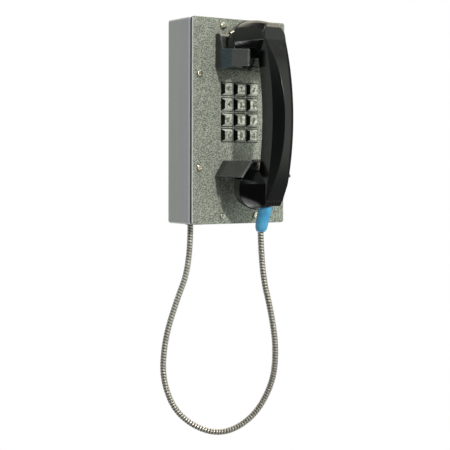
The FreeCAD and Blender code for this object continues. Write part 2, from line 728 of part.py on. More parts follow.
def neck(axis_point, towards_middle, rim_angles, ends, crown):
    """A body from the round cap seam to an outline of (x, height, z) points on the handle.

    Halfway, its far side stands proud of the straight run by the crown.
    """
    centre = axis_point(CAP_T)
    axis = (axis_point(1) - axis_point(0)).normalize()
    inward = vec(1, 0, 0).cross(axis) * towards_middle

    def rim(degrees):
        angle = math.radians(degrees)
        return centre + (inward * math.cos(angle) + vec(1, 0, 0) * math.sin(angle)) * NECK_R

    def halfway(near, far, degrees):
        proud = crown * max(-math.cos(math.radians(degrees)), 0.0)
        return (near + far) * 0.5 - inward * proud

    right = [(angle, vec(x, out(h), z)) for angle, (x, h, z) in zip(rim_angles, ends)]
    ring = right + [(360 - angle, vec(-p.x, p.y, p.z)) for angle, p in right[::-1]]
    angles = [angle for angle, point in ring]
    far = [point for angle, point in ring]
    turned = angles[1:] + [angles[0] + 360]
    half_angles = [(first + last) / 2 for first, last in zip(angles, turned)]
    far_middles = [(first + last) * 0.5 for first, last in zip(far, far[1:] + far[:1])]
    near = [rim(angle) for angle in angles]
    near_middles = [rim(angle) for angle in half_angles]
    between = [halfway(*row) for row in zip(near, far, angles)]
    between_middles = [halfway(*row) for row in zip(near_middles, far_middles, half_angles)]
    wires = [ring_wire(near, near_middles), ring_wire(between, between_middles),
             ring_wire(far, far_middles)]
    faces = list(Part.makeLoft(wires, False, False).Faces)
    faces.append(Part.Face(wires[0]))
    for (_, first), (_, last) in zip(right, right[1:]):
        others = [vec(-last.x, last.y, last.z), vec(-first.x, first.y, first.z)]
        faces.append(Part.Face(Part.makePolygon([first, last] + others + [first])))
    shell = Part.makeShell(faces)
    shell.sewShape()
    solid = Part.makeSolid(Part.Shell(shell.Faces))
    if solid.Volume < 0:
        solid.reverse()
    return solid


def handset_shell():
    shell = handle_bar()
    shell = shell.fuse(neck(ear_axis_point, 1, EAR_ANGLES, EAR_NECK, EAR_CROWN))
    shell = shell.fuse(neck(mouth_axis_point, -1, MOUTH_ANGLES, MOUTH_NECK, 0.0))
    for axis_point in (ear_axis_point, mouth_axis_point):
        shell = shell.fuse(along(axis_point, 5, CAP_T + 1, SPIGOT_R))
    for axis_point in (ear_axis_point, mouth_axis_point):
        shell = shell.cut(along(axis_point, 4, POCKET_END, POCKET_R))
        shell = shell.cut(along(axis_point, POCKET_END - 1, 44, WIRE_HOLE_R))
    bend_centre = vec(0, out(CHANNEL_H - CHANNEL_BEND_R), 0)
    torus = Part.makeTorus(CHANNEL_BEND_R, CHANNEL_R, bend_centre, vec(1, 0, 0))
    channel = torus.common(block(-8, 8, out(50), out(110), -90, 97))
    shell = shell.cut(channel)
    shell = shell.cut(boot_stem(BOOT_STEM_R + 0.05, 26)).removeSplitter()
    return shell.cut(cord_boot())


def cap(axis_point, hole_rings):
    """Screw-on cap with a rounded rim and rings of sound holes."""
    body = along(axis_point, 0, CAP_T, CAP_R)
    face_centre = axis_point(0)
    rim = [e for e in body.Edges if (e.CenterOfMass - face_centre).Length < 0.5 and e.Length > 100]
    body = body.makeFillet(CAP_RIM_R, rim)
    body = body.cut(along(axis_point, CAP_WALL, CAP_T + 1, SPIGOT_R + 0.05))
    axis = (axis_point(1) - axis_point(0)).normalize()
    across = vec(1, 0, 0)
    upwards = axis.cross(across)
    for ring_r, count in hole_rings:
        for index in range(count):
            angle = 2 * math.pi * index / count
            centre = face_centre + across * (ring_r * math.cos(angle))
            centre = centre + upwards * (ring_r * math.sin(angle)) - axis
            body = body.cut(Part.makeCylinder(SOUND_HOLE_R, CAP_WALL + 3, centre, axis))
    return body


def capsule(axis_point, radius, depth):
    back = CAPSULE_START + depth
    body = along(axis_point, CAPSULE_START, back, radius)
    return body.fuse(along(axis_point, back, back + 2, radius * 0.45)).removeSplitter()


def capsule_gasket(axis_point, radius):
    ring = along(axis_point, CAP_WALL, CAPSULE_START, radius)
    return ring.cut(along(axis_point, CAP_WALL - 1, 8, radius - 4))


def hook_magnet():
    ring = along(ear_axis_point, MAGNET_START, POCKET_END, 12.0)
    return ring.cut(along(ear_axis_point, MAGNET_START - 1, POCKET_END + 1, 11.0))


def boot_axis():
    lean = math.radians(BOOT_ROOT_LEAN)
    return vec(0, math.sin(lean), -math.cos(lean))


def boot_stem(radius, length):
    root = vec(0, out(BOOT_ROOT_H), BOOT_ROOT_Z)
    return Part.makeCylinder(radius, length, root - boot_axis() * length, boot_axis())


def cord_boot():
    """Moulded sleeve, cut off along the handset's underside, that hangs straight at its end."""
    wires = []
    for h, z, lean, radius in BOOT_SECTIONS:
        lean = math.radians(lean)
        facing = vec(0, math.sin(lean), -math.cos(lean))
        wires.append(Part.Wire(Part.makeCircle(radius, vec(0, out(h), z), facing)))
    sleeve = Part.makeLoft(wires, True, False)
    below = [(BOOT_TOP[1][0], -140.0), (BOOT_TOP[0][0], -140.0)]
    sleeve = sleeve.common(prism_x(BOOT_TOP + below, -10, 10))
    return sleeve.fuse(boot_stem(BOOT_STEM_R, BOOT_STEM_LENGTH)).removeSplitter()


def cord_anchor():
    """Crimped collar that holds the cord inside the handset."""
    root = vec(0, out(BOOT_ROOT_H), BOOT_ROOT_Z) - boot_axis() * BOOT_STEM_LENGTH
    return Part.makeCylinder(ANCHOR_R, ANCHOR_LENGTH, root - boot_axis() * ANCHOR_LENGTH, boot_axis())


# ---- cord ---------------------------------------------------------------------------------
def cord_path(route):
    """Straight runs joined by arcs as large as the two runs allow."""
    edges = []
    length = 0.0
    start = vec(*route[0])
    for index in range(1, len(route) - 1):
        before = vec(*route[index - 1])
        corner = vec(*route[index])
        after = vec(*route[index + 1])
        run_in = corner - before
        run_out = after - corner
        turn = run_in.getAngle(run_out)
        cut = CORD_ARC_SHARE * min(run_in.Length, run_out.Length)
        radius = cut / math.tan(turn / 2)
        first = corner - run_in.normalize() * cut
        last = corner + run_out.normalize() * cut
        middle_way = (first + last) * 0.5 - corner
        to_middle = radius / math.cos(turn / 2) - radius
        middle = corner + middle_way.normalize() * to_middle
        edges.append(Part.LineSegment(start, first).toShape())
        edges.append(Part.Arc(first, middle, last).toShape())
        length += (first - start).Length + radius * turn
        print("cord corner", index, "turn", round(math.degrees(turn), 1), "radius", round(radius, 1))
        start = last
    end = vec(*route[-1])
    edges.append(Part.LineSegment(start, end).toShape())
    return Part.Wire(edges), length + (end - start).Length


def armoured_cord():
    path, length = cord_path(CORD_ROUTE)
    start = vec(*CORD_ROUTE[0])
    direction = vec(*CORD_ROUTE[1]) - start
    section = Part.Wire(Part.makeCircle(CORD_D / 2, start, direction))
    tube = path.makePipeShell([section], True, False)
    expected = math.pi * (CORD_D / 2) ** 2 * length
    print("cord length", round(length, 1), "volume ratio", round(tube.Volume / expected, 4))
    return tube


# ---- write the parts ----------------------------------------------------------------------
def main():
    save("back_box", back_box())
    save("front_plate", front_plate())
    save("plate_gasket", plate_gasket())
    save_group("plate_screws", [button_screw(x, z) for x, z in SCREW_PLACES])
    save_group("weld_nuts", [weld_nut(x, z) for x, z in SCREW_PLACES])
    save("upper_cradle", upper_cradle())
    save("lower_cradle", lower_cradle())
    save_group("cradle_screws", [cradle_screw(x, z) for x, z in UPPER_SCREWS + LOWER_SCREWS])
    for name, (x, z) in zip(KEY_NAMES, key_places()):
        save(name, key(x, z))
    save("keypad_frame", keypad_frame())
    save("dome_mat", dome_mat())
    save("keypad_board", keypad_board())
    save_group("keypad_studs", [keypad_stud(x, z) for x, z in STUDS])
    save_group("keypad_nuts", [keypad_nut(x, z) for x, z in STUDS])
    save("keypad_ribbon", keypad_ribbon())
    save("main_board", main_board())
    save_group("board_standoffs", [standoff(x, z) for x, z in STANDOFFS])
    save_group("board_screws", [board_screw(x, z) for x, z in STANDOFFS])
    save("terminal_block", terminal_block())
    save("line_transformer", line_transformer())
    save("ringer", ringer())
    save("surge_arrestor", surge_arrestor())
    save("handset_socket", handset_socket())
    save("reed_switch", reed_switch())
    save("reed_holder", reed_holder())
    save("cord_bushing", cord_bushing())
    save("bushing_nut", bushing_nut())
    save("line_grommet", line_grommet())
    save("handset_shell", handset_shell())
    save("ear_cap", cap(ear_axis_point, [(6.5, 6), (13.0, 12)]))
    save("mouth_cap", cap(mouth_axis_point, [(0.0, 1), (6.0, 6), (12.0, 12)]))
    save("receiver_capsule", capsule(ear_axis_point, 24.0, 11.0))
    save("microphone_capsule", capsule(mouth_axis_point, 20.0, 9.0))
    save("receiver_gasket", capsule_gasket(ear_axis_point, 24.0))
    save("microphone_gasket", capsule_gasket(mouth_axis_point, 20.0))
    save("hook_magnet", hook_magnet())
    save("cord_boot", cord_boot())
    save("cord_anchor", cord_anchor())
    save("armoured_cord", armoured_cord())


main()
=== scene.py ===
import json
import math

import bmesh
import bpy
from mathutils import Matrix, Vector


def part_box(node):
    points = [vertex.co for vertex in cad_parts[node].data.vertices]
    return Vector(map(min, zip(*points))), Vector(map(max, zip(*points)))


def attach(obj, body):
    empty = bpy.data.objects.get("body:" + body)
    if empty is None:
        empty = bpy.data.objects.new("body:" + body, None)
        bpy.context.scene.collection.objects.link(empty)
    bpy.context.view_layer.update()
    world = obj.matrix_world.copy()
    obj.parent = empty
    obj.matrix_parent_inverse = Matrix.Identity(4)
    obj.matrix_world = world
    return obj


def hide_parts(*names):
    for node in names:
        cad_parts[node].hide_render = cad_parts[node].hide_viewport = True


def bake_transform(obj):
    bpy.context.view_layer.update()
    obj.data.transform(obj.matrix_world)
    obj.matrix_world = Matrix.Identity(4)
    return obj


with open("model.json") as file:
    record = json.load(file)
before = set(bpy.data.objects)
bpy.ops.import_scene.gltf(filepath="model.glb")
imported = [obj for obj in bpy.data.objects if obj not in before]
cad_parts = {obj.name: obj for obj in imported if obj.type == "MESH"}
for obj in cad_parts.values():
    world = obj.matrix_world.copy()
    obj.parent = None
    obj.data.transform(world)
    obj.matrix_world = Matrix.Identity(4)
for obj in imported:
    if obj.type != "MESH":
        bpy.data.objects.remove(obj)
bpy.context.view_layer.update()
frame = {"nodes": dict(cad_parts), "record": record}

MM = 0.001

# The CAD's own planes: the plate's face, the box's front edge and half the plate's width.
PLATE_FACE = -57.15 * MM
BOX_FRONT = -52.15 * MM
EDGE_X = 69.85 * MM


def add_object(name, data, body=None):
    piece = bpy.data.objects.new(name, data)
    bpy.context.scene.collection.objects.link(piece)
    if body:
        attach(piece, body)
    return piece


# ---- camera --------------------------------------------------------------------------------
CAMERA_AT = Vector((-0.84444, -1.27194, -0.05350))
YAW = math.radians(34.126)
PITCH = math.radians(2.920)
ROLL = math.radians(0.207)
FOCAL_PIXELS = 1180.15
FRAME_PIXELS = 450.0
SENSOR = 36.0
CLIP_NEAR = 0.05
CLIP_FAR = 100.0


def make_camera():
    data = bpy.data.cameras.new("camera")
    data.sensor_width = SENSOR
    data.lens = FOCAL_PIXELS / FRAME_PIXELS * SENSOR
    data.clip_start = CLIP_NEAR
    data.clip_end = CLIP_FAR
    flat = math.cos(PITCH)
    forward = Vector((math.sin(YAW) * flat, math.cos(YAW) * flat, -math.sin(PITCH)))
    level = Vector((math.cos(YAW), -math.sin(YAW), 0.0))
    above = level.cross(forward)
    right = level * math.cos(ROLL) + above * math.sin(ROLL)
    up = above * math.cos(ROLL) - level * math.sin(ROLL)
    turn = Matrix((right, up, -forward)).transposed().to_4x4()
    camera = add_object("camera", data)
    camera.matrix_world = Matrix.Translation(CAMERA_AT) @ turn
    bpy.context.scene.camera = camera


make_camera()

# ---- armoured cord -------------------------------------------------------------------------
CORD_D = 0.0075
CORD_ROUTE = [
    (-0.0525, -0.0260, -0.1282),
    (-0.0525, -0.0260, -0.1790),
    (-0.0720, -0.0210, -0.2290),
    (-0.0860, -0.0180, -0.2760),
    (-0.0870, -0.0160, -0.3260),
    (-0.0670, -0.0230, -0.3720),
    (-0.0240, -0.0460, -0.3960),
    (0.0110, -0.0710, -0.3750),
    (0.0270, -0.0930, -0.3290),
    (0.0210, -0.1090, -0.2820),
    (0.0100, -0.1130, -0.2340),
    (0.0000, -0.1060, -0.1840),
    (0.0000, -0.1036, -0.1356),
]
SPLINE_STEPS = 24

# The wound strip: a nearly flat crown for part of each turn, then a groove.
STRIP_PITCH = 0.0036
STRIP_DEPTH = 0.00062
CROWN_SHARE = 0.70
CROWN_DROP = 0.00010
# The groove value at the crown's ends: a little dirt and painted shade.
CROWN_DIRT_AND_SHADE = 0.12
RINGS_A_TURN = 9
SIDES = 20


def read_spline(route, steps):
    """Points along the NURBS spline whose control points are the route's."""
    data = bpy.data.curves.new("cord_line", "CURVE")
    data.dimensions = "3D"
    data.resolution_u = steps
    spline = data.splines.new("NURBS")
    spline.points.add(len(route) - 1)
    for point, place in zip(spline.points, route):
        point.co = (*place, 1.0)
    spline.order_u = 3
    spline.use_endpoint_u = True
    holder = add_object("cord_line", data)
    mesh = bpy.data.meshes.new_from_object(holder)
    points = [v.co.copy() for v in mesh.vertices]
    bpy.data.objects.remove(holder)
    bpy.data.meshes.remove(mesh)
    return points


def even_points(points, step):
    """The same line read off at even distances."""
    distance = [0.0]
    for a, b in zip(points, points[1:]):
        distance.append(distance[-1] + (b - a).length)
    count = round(distance[-1] / step)
    found = []
    index = 0
    for number in range(count + 1):
        target = distance[-1] * number / count
        while index < len(points) - 2 and distance[index + 1] < target:
            index += 1
        share = (target - distance[index]) / (distance[index + 1] - distance[index])
        found.append(points[index].lerp(points[index + 1], share))
    return found


def strip_radius(turns):
    """The tube's radius and groove depth (0 to 1) at a place in the strip's turn; the steel
    darkens with it, dirt and painted shade in one.
    """
    share = turns % 1.0
    if share < CROWN_SHARE:
        crown = (2 * share / CROWN_SHARE - 1) ** 4
        return CORD_D / 2 - crown * CROWN_DROP, crown * CROWN_DIRT_AND_SHADE
    dip = math.sin(math.pi * (share - CROWN_SHARE) / (1 - CROWN_SHARE))
    return CORD_D / 2 - CROWN_DROP - STRIP_DEPTH * dip, CROWN_DIRT_AND_SHADE + (1 - CROWN_DIRT_AND_SHADE) * dip


def make_cord():
    line = even_points(read_spline(CORD_ROUTE, SPLINE_STEPS), STRIP_PITCH / RINGS_A_TURN)
    bm = bmesh.new()
    depth = bm.verts.layers.float.new("groove")
    rings = []
    side = Vector((0.0, 1.0, 0.0))
    for index, centre in enumerate(line):
        ahead = line[min(index + 1, len(line) - 1)] - line[max(index - 1, 0)]
        ahead.normalize()
        side = (side - ahead * side.dot(ahead)).normalized()
        other = ahead.cross(side)
        ring = []
        for corner in range(SIDES):
            angle = 2 * math.pi * corner / SIDES
            radius, groove = strip_radius(index / RINGS_A_TURN + corner / SIDES)
            outward = side * math.cos(angle) + other * math.sin(angle)
            vert = bm.verts.new(centre + outward * radius)
            vert[depth] = groove
            ring.append(vert)
        rings.append(ring)
    skin(bm, rings)
    bm.faces.new(rings[0][::-1])
    bm.faces.new(rings[-1])
    cord = add_object("cord_armour", to_mesh(bm, "cord_armour"))
    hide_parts("armoured_cord")
    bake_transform(cord)
    return cord


def skin(bm, rings):
    """Quads between closed rings of SIDES vertices."""
    for low, high in zip(rings, rings[1:]):
        for index in range(SIDES):
            after = (index + 1) % SIDES
            bm.faces.new((low[index], low[after], high[after], high[index]))


def to_mesh(bm, name):
    bmesh.ops.recalc_face_normals(bm, faces=bm.faces)
    for face in bm.faces:
        face.smooth = True
    mesh = bpy.data.meshes.new(name)
    bm.to_mesh(mesh)
    bm.free()
    return mesh


cord = make_cord()


# ---- materials -----------------------------------------------------------------------------
class Graph:
    """A short way to write a material's nodes."""

    def __init__(self, name):
        self.material = bpy.data.materials.new(name)
        self.material.use_nodes = True
        self.tree = self.material.node_tree
        self.shader = self.tree.nodes["Principled BSDF"]
        self.place = self.add("ShaderNodeTexCoord").outputs["Object"]

    def add(self, kind, **settings):
        node = self.tree.nodes.new(kind)
        for key, value in settings.items():
            setattr(node, key, value)
        return node

    def link(self, output, node, socket):
        self.tree.links.new(output, node.inputs[socket])

    def noise(self, size, detail=3.0, stretch=None, roughness=0.5):
        node = self.add("ShaderNodeTexNoise")
        node.inputs["Scale"].default_value = 1.0 / size
        node.inputs["Detail"].default_value = detail
        node.inputs["Roughness"].default_value = roughness
        self.link(self.stretched(stretch), node, "Vector")
        return node.outputs["Fac"]

    def cells(self, size, stretch):
        node = self.add("ShaderNodeTexVoronoi", feature="SMOOTH_F1")
        node.inputs["Scale"].default_value = 1.0 / size
        self.link(self.stretched(stretch), node, "Vector")
        return node.outputs["Distance"]

    def stretched(self, stretch):
        if stretch is None:
            return self.place
        mapping = self.add("ShaderNodeMapping")
        mapping.inputs["Scale"].default_value = stretch
        self.link(self.place, mapping, "Vector")
        return mapping.outputs["Vector"]

    def spread(self, value, low, high, to_low=0.0, to_high=1.0):
        """The value from low to high, eased and mapped to to_low to to_high."""
        node = self.add("ShaderNodeMapRange", interpolation_type="SMOOTHSTEP")
        node.inputs["From Min"].default_value = low
        node.inputs["From Max"].default_value = high
        node.inputs["To Min"].default_value = to_low
        node.inputs["To Max"].default_value = to_high
        self.link(value, node, "Value")
        return node.outputs["Result"]

    def math(self, operation, a, b):
        node = self.add("ShaderNodeMath", operation=operation)
        for socket, value in ((0, a), (1, b)):
            if isinstance(value, (int, float)):
                node.inputs[socket].default_value = value
            else:
                self.link(value, node, socket)
        return node.outputs["Value"]

    def mix(self, share, a, b):
        node = self.add("ShaderNodeMix", data_type="RGBA")
        self.link(share, node, "Factor")
        for socket, value in (("A", a), ("B", b)):
            target = [s for s in node.inputs if s.name == socket and s.type == "RGBA"][0]
            if isinstance(value, tuple):
                target.default_value = (*value, 1.0)
            else:
                self.tree.links.new(value, target)
        return [s for s in node.outputs if s.type == "RGBA"][0]

    def attribute(self, name):
        return self.add("ShaderNodeAttribute", attribute_name=name).outputs["Fac"]

    def rounded(self, radius):
        """A normal that rounds sharp edges."""
        node = self.add("ShaderNodeBevel", samples=4)
        node.inputs["Radius"].default_value = radius
        return node.outputs["Normal"]

    def edges(self, radius):
        """1 at sharp edges, 0 away from them."""
        geometry = self.add("ShaderNodeNewGeometry")
        dot = self.add("ShaderNodeVectorMath", operation="DOT_PRODUCT")
        self.link(self.rounded(radius), dot, 0)
        self.link(geometry.outputs["Normal"], dot, 1)
        return self.spread(dot.outputs["Value"], 0.80, 0.995, 1.0, 0.0)

    def part_of(self, output, axis):
        """The size of a vector's x, y or z."""
        node = self.add("ShaderNodeSeparateXYZ")
        self.link(output, node, "Vector")
        return self.math("ABSOLUTE", node.outputs[axis], 0.0)

    def facing(self, axis, low, high):
        """1 on surfaces that face along the axis, either way."""
        geometry = self.add("ShaderNodeNewGeometry")
        return self.spread(self.part_of(geometry.outputs["Normal"], axis), low, high)

    def depth(self, start, end):
        """0 on the start's side and 1 past the end, both of them y coordinates."""
        return self.spread(self.part_of(self.place, "Y"), -start, -end)

    def bump(self, height, distance, strength=1.0, normal=None):
        node = self.add("ShaderNodeBump")
        node.inputs["Distance"].default_value = distance
        node.inputs["Strength"].default_value = strength
        self.link(height, node, "Height")
        if normal is not None:
            self.link(normal, node, "Normal")
        return node.outputs["Normal"]

    def finish(self, colour, roughness, normal, **constants):
        self.link(colour, self.shader, "Base Color")
        self.link(roughness, self.shader, "Roughness")
        self.link(normal, self.shader, "Normal")
        for key, value in constants.items():
            self.shader.inputs[key.replace("_", " ")].default_value = value
        return self.material


def srgb(r, g, b):
    """A linear colour from 0 to 255 display values."""
    def straight(c):
        c = c / 255
        return c / 12.92 if c <= 0.04045 else ((c + 0.055) / 1.055) ** 2.4
    return (straight(r), straight(g), straight(b))


def plain(name, dark, light, rough, grain=0.0015, blotch=0.02, depth=0.00005, edge=0.0003,
          **constants):
    """A moulded, cast or painted surface: blotches, fine grain and soft edges."""
    g = Graph(name)
    colour = g.mix(g.spread(g.noise(blotch, 5.0), 0.35, 0.65), dark, light)
    fine = g.noise(grain, 3.0)
    roughness = g.spread(g.noise(blotch * 0.4, 4.0), 0.3, 0.7, rough[0], rough[1])
    normal = g.bump(fine, depth, 1.0, g.rounded(edge))
    return g.finish(colour, roughness, normal, **constants)


# Where a colour changes with depth or width, most of them painted light and shade: the pair is
# where the change starts and ends.
PAINTED_EDGE_HIGHLIGHT = (EDGE_X - 0.0013, EDGE_X - 0.0007)
EDGE_SEAL_AND_SHADE = (PLATE_FACE + 0.0014, PLATE_FACE + 0.0019)
KEY_FIELD = (0.034, 0.035)
OPENING_SHADE = (PLATE_FACE + 0.0002, PLATE_FACE + 0.0006)
BOX_COOL = (BOX_FRONT + 0.024, BOX_FRONT + 0.006)
BOX_EDGE_HIGHLIGHT = (BOX_FRONT + 0.0050, BOX_FRONT + 0.0030)
ARM_REFLECTION = (PLATE_FACE - 0.010, PLATE_FACE - 0.012)
KEY_GAP_SHADE = (PLATE_FACE - 0.0004, PLATE_FACE)


def hammertone():
    """Fine pebbled paint: pale grains and dark pits on grey-green, a painted highlight along the
    side edges, black on the sides behind the face as a sealing bead and painted shade, painted
    shade in the key holes.
    """
    g = Graph("hammertone_paint")
    grain = g.noise(0.00105, 1.5, stretch=(1.0, 1.0, 1.4), roughness=0.6)
    pits = g.cells(0.0017, stretch=(1.0, 1.0, 1.3))
    tone = g.mix(g.spread(grain, 0.36, 0.66), srgb(84, 91, 82), srgb(206, 212, 198))
    tone = g.mix(g.spread(pits, 0.52, 0.86), tone, srgb(80, 86, 77))
    tone = g.mix(g.spread(g.noise(0.05, 3.0), 0.35, 0.65, 0.0, 0.18), tone, srgb(176, 172, 156))
    across = g.part_of(g.place, "X")
    # Painted highlight: a pale band on the outer 0.7 mm of the plate's left and right edges,
    # fading in from 1.3 mm.
    tone = g.mix(g.spread(across, *PAINTED_EDGE_HIGHLIGHT), tone, srgb(232, 236, 232))
    # A dark sealing bead and painted shade in the seam: the plate's sides turn black from 1.4 mm
    # behind its face.
    tone = g.mix(g.depth(*EDGE_SEAL_AND_SHADE), tone, srgb(16, 16, 16))
    # Painted shade: within the keypad's width, the walls of the plate's key holes are black from
    # 0.2 mm behind its face.
    opening_shade = g.math("MULTIPLY", g.spread(across, *KEY_FIELD, 1.0, 0.0), g.depth(*OPENING_SHADE))
    tone = g.mix(opening_shade, tone, srgb(14, 14, 14))
    height = g.math("SUBTRACT", grain, g.math("MULTIPLY", pits, 0.7))
    roughness = g.spread(grain, 0.3, 0.7, 0.36, 0.52)
    normal = g.bump(height, 0.00045, 0.6, g.rounded(0.0006))
    return g.finish(tone, roughness, normal)


def box_paint():
    """Smooth satin paint: a faint vertical drift, a little orange peel, a painted highlight along
    the front edge.
    """
    g = Graph("box_paint")
    drift = g.noise(0.030, 3.0, stretch=(1.0, 1.0, 0.12))
    tone = g.mix(g.spread(drift, 0.3, 0.7), srgb(218, 220, 220), srgb(228, 230, 229))
    tone = g.mix(g.spread(g.noise(0.0011, 2.0), 0.3, 0.7, 0.0, 0.3), tone, srgb(202, 204, 203))
    roughness = g.spread(g.noise(0.02, 4.0), 0.3, 0.7, 0.34, 0.46)
    tone = g.mix(g.depth(*BOX_COOL), tone, srgb(218, 221, 231))
    # Painted highlight: near white on the last 3 mm of the box toward its front edge, fading in
    # from 5 mm.
    tone = g.mix(g.depth(*BOX_EDGE_HIGHLIGHT), tone, srgb(250, 251, 255))
    normal = g.bump(g.noise(0.0014, 2.0), 0.00008, 0.6, g.rounded(0.0007))
    return g.finish(tone, roughness, normal)


def cord_steel():
    """Interlocked steel strip: bright satin crowns, and grooves painted dark and slightly brown,
    dirt and painted shade in one.
    """
    g = Graph("cord_steel")
    groove = g.attribute("groove")
    mottle = g.spread(g.noise(0.003, 3.0), 0.35, 0.65)
    tone = g.mix(mottle, srgb(196, 190, 178), srgb(226, 223, 215))
    # Dirt and painted shade: the deeper the groove, the darker and browner the steel.
    tone = g.mix(g.spread(groove, 0.10, 0.55), tone, srgb(52, 46, 38))
    roughness = g.spread(groove, 0.1, 0.8, 0.28, 0.70)
    normal = g.bump(g.noise(0.0009, 3.0, stretch=(1, 1, 3)), 0.00003, 0.6)
    return g.finish(tone, roughness, normal, Metallic=0.55)


def metal(name, dark, light, rough):
    """Bare or plated metal: soft mottling, a fine satin grain and soft edges."""
    g = Graph(name)
    tone = g.mix(g.spread(g.noise(0.006, 4.0), 0.35, 0.65), dark, light)
    fine = g.noise(0.0008, 3.0)
    roughness = g.spread(fine, 0.3, 0.7, rough[0], rough[1])
    normal = g.bump(fine, 0.00002, 0.7, g.rounded(0.0002))
    return g.finish(tone, roughness, normal, Metallic=1.0)


def cradle_black():
    """Glossy black paint on steel: the parts that stand out from the plate paler and their sides
    bluish, both painted reflection, and edge wear with a painted highlight.
    """
    g = Graph("cradle_black")
    blotches = g.spread(g.noise(0.02, 5.0), 0.35, 0.65)
    arm_reflection = g.depth(*ARM_REFLECTION)
    tone = g.mix(blotches, srgb(26, 29, 27), srgb(42, 46, 43))
    # Painted reflection: the parts that stand out 10 to 12 mm and more from the plate are paler.
    tone = g.mix(arm_reflection, tone, g.mix(blotches, srgb(48, 52, 49), srgb(66, 70, 66)))
    # Painted reflection: on those parts, the sides facing left and right turn steel-blue.
    blue_flank_reflection = g.math("MULTIPLY", g.facing("X", 0.975, 0.995), arm_reflection)
    tone = g.mix(blue_flank_reflection, tone, srgb(42, 78, 98))
    # Edge wear and a painted highlight: sharp edges turn pale grey-blue in noisy patches.
    wear_and_edge_highlight = g.math("MULTIPLY", g.edges(0.0022), g.spread(g.noise(0.006, 4.0), 0.30, 0.52))
    tone = g.mix(wear_and_edge_highlight, tone, srgb(150, 157, 162))
    roughness = g.spread(g.noise(0.008, 4.0), 0.3, 0.7, 0.26, 0.38)
    normal = g.bump(g.noise(0.0018, 3.0), 0.00002, 1.0, g.rounded(0.0006))
    return g.finish(tone, roughness, normal, IOR=1.8)


def keypad_zinc():
    """Cast keys: mottled bright faces, sides darkened as painted shade, upper and lower sloped
    faces near white as a painted highlight, black as painted shade behind the plate's face.
    """
    g = Graph("keypad_zinc")
    mottle = g.spread(g.noise(0.0035, 4.0), 0.36, 0.64)
    tone = g.mix(mottle, srgb(128, 128, 119), srgb(214, 215, 207))
    # Painted highlight: the upper and lower sloped faces are near white and mostly not metallic.
    slope_highlight = g.facing("Z", 0.25, 0.55)
    # Painted shade: the key sides that face left and right are darkened.
    tone = g.mix(g.facing("X", 0.45, 0.75), tone, srgb(70, 70, 66))
    tone = g.mix(slope_highlight, tone, srgb(252, 252, 244))
    # Painted shade: the keys are black and not metallic from 0.4 mm in front of the plate's face
    # backwards.
    gap_shade = g.depth(*KEY_GAP_SHADE)
    tone = g.mix(gap_shade, tone, srgb(12, 12, 12))
    fine = g.noise(0.0008, 3.0)
    roughness = g.spread(fine, 0.3, 0.7, 0.24, 0.36)
    dull = g.math("MAXIMUM", g.math("MULTIPLY", slope_highlight, 0.8), gap_shade)
    g.link(g.math("SUBTRACT", 1.0, dull), g.shader, "Metallic")
    normal = g.bump(fine, 0.00003, 0.7, g.rounded(0.0004))
    return g.finish(tone, roughness, normal)


SLOTS = {
    "hammertone_paint": hammertone(),
    "box_paint": box_paint(),
    "cord_steel": cord_steel(),
    "black_rubber": plain("black_rubber", srgb(10, 10, 10), srgb(18, 18, 18), (0.8, 0.95)),
    "nickel_steel": metal("nickel_steel", srgb(205, 198, 180), srgb(226, 221, 205), (0.16, 0.30)),
    "cradle_black": cradle_black(),
    "keypad_zinc": keypad_zinc(),
    "frame_zinc": metal("frame_zinc", srgb(150, 150, 148), srgb(175, 175, 172), (0.4, 0.55)),
    "silicone": plain("silicone", srgb(150, 150, 146), srgb(172, 171, 166), (0.5, 0.65)),
    "circuit_board": plain("circuit_board", srgb(16, 78, 42), srgb(24, 104, 56), (0.3, 0.5),
                           blotch=0.008),
    "cable_grey": plain("cable_grey", srgb(140, 141, 142), srgb(165, 165, 165), (0.4, 0.5)),
    "brass": metal("brass", srgb(190, 150, 80), srgb(215, 178, 104), (0.2, 0.35)),
    "green_plastic": plain("green_plastic", srgb(30, 110, 60), srgb(40, 130, 72), (0.3, 0.45)),
    "inner_black": plain("inner_black", srgb(26, 26, 27), srgb(40, 40, 41), (0.4, 0.6)),
    "ceramic": plain("ceramic", srgb(205, 200, 185), srgb(225, 221, 208), (0.15, 0.25)),
    "glass_tube": plain("glass_tube", srgb(150, 190, 165), srgb(170, 205, 182), (0.05, 0.1),
                        Transmission_Weight=0.8),
    "handset_black": plain("handset_black", srgb(11, 13, 13), srgb(15, 17, 16), (0.13, 0.22),
                           grain=0.0022, blotch=0.03, depth=0.00002, edge=0.0007, IOR=1.52),
    "capsule_metal": metal("capsule_metal", srgb(170, 170, 168), srgb(200, 200, 198), (0.25, 0.4)),
    "boot_blue": plain("boot_blue", srgb(90, 190, 244), srgb(116, 206, 250), (0.30, 0.42),
                       grain=0.003, blotch=0.008, depth=0.00008,
                       Subsurface_Weight=0.25, Subsurface_Scale=0.003),
}


def give(piece, slot):
    piece.data.materials.clear()
    piece.data.materials.append(SLOTS[slot])


# ---- key legends ---------------------------------------------------------------------------
SYMBOLS = {"star": "*", "hash": "#"}
LEGEND_SIZE = 0.0082
LEGEND_WEIGHT = 0.00004
LEGEND_DEPTH = 0.00012
LEGEND_STEPS = 6
KEY_DISH = 0.0003
KEYS = ["1", "2", "3", "4", "5", "6", "7", "8", "9", "star", "0", "hash"]


